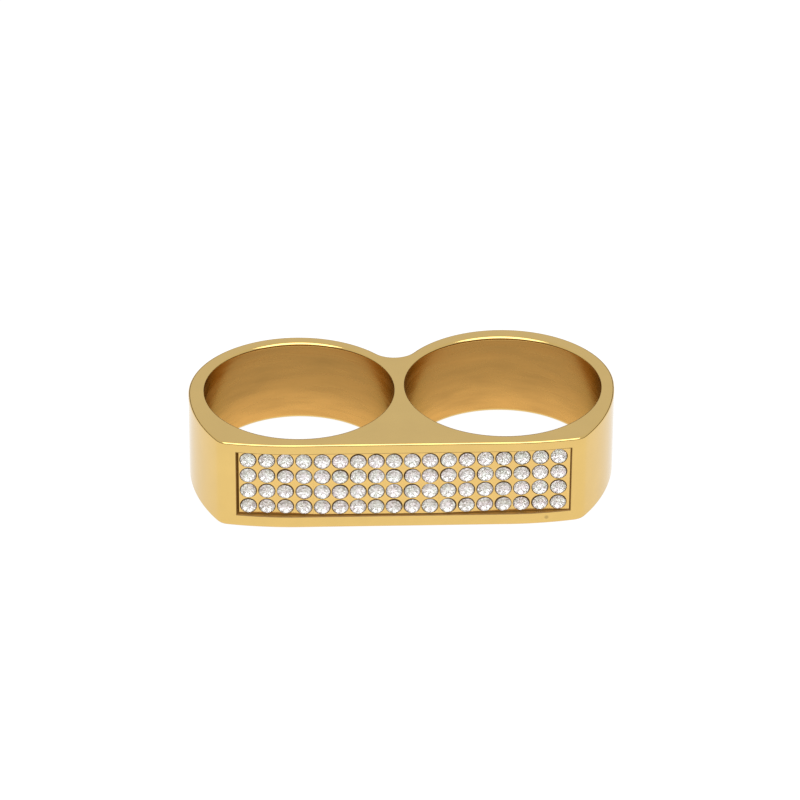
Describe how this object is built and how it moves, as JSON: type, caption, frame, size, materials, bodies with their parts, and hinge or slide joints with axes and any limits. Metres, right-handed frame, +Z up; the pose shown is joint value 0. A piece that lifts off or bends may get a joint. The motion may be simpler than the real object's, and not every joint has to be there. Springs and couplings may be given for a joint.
{
  "type": "two finger ring",
  "caption": "Double ring of gold-toned steel for neighbouring fingers, with a long shallow pocket of round cut clear stones along its bowed flat front.",
  "frame": {"origin": "middle of the lower side face's bounding box, on the surface that the ring lies on", "axes": "+X runs across the two fingers towards the wider hole, +Y towards the plain back of the ring, +Z up through the finger holes; the stone front faces -Y"},
  "size_m": [0.0426, 0.0228, 0.0097],
  "materials": {
    "gold_steel": "polished, gold-toned, with soft rounded edges",
    "gold_tile": "bright gold-toned, with cut seats",
    "clear_stone": "clear, cut and polished"
  },
  "bodies": {
    "root": {"band": "gold_steel", "tile_left": "gold_tile", "tile_middle": "gold_tile", "tile_right": "gold_tile", "stones": "clear_stone"}
  },
  "joints": []
}
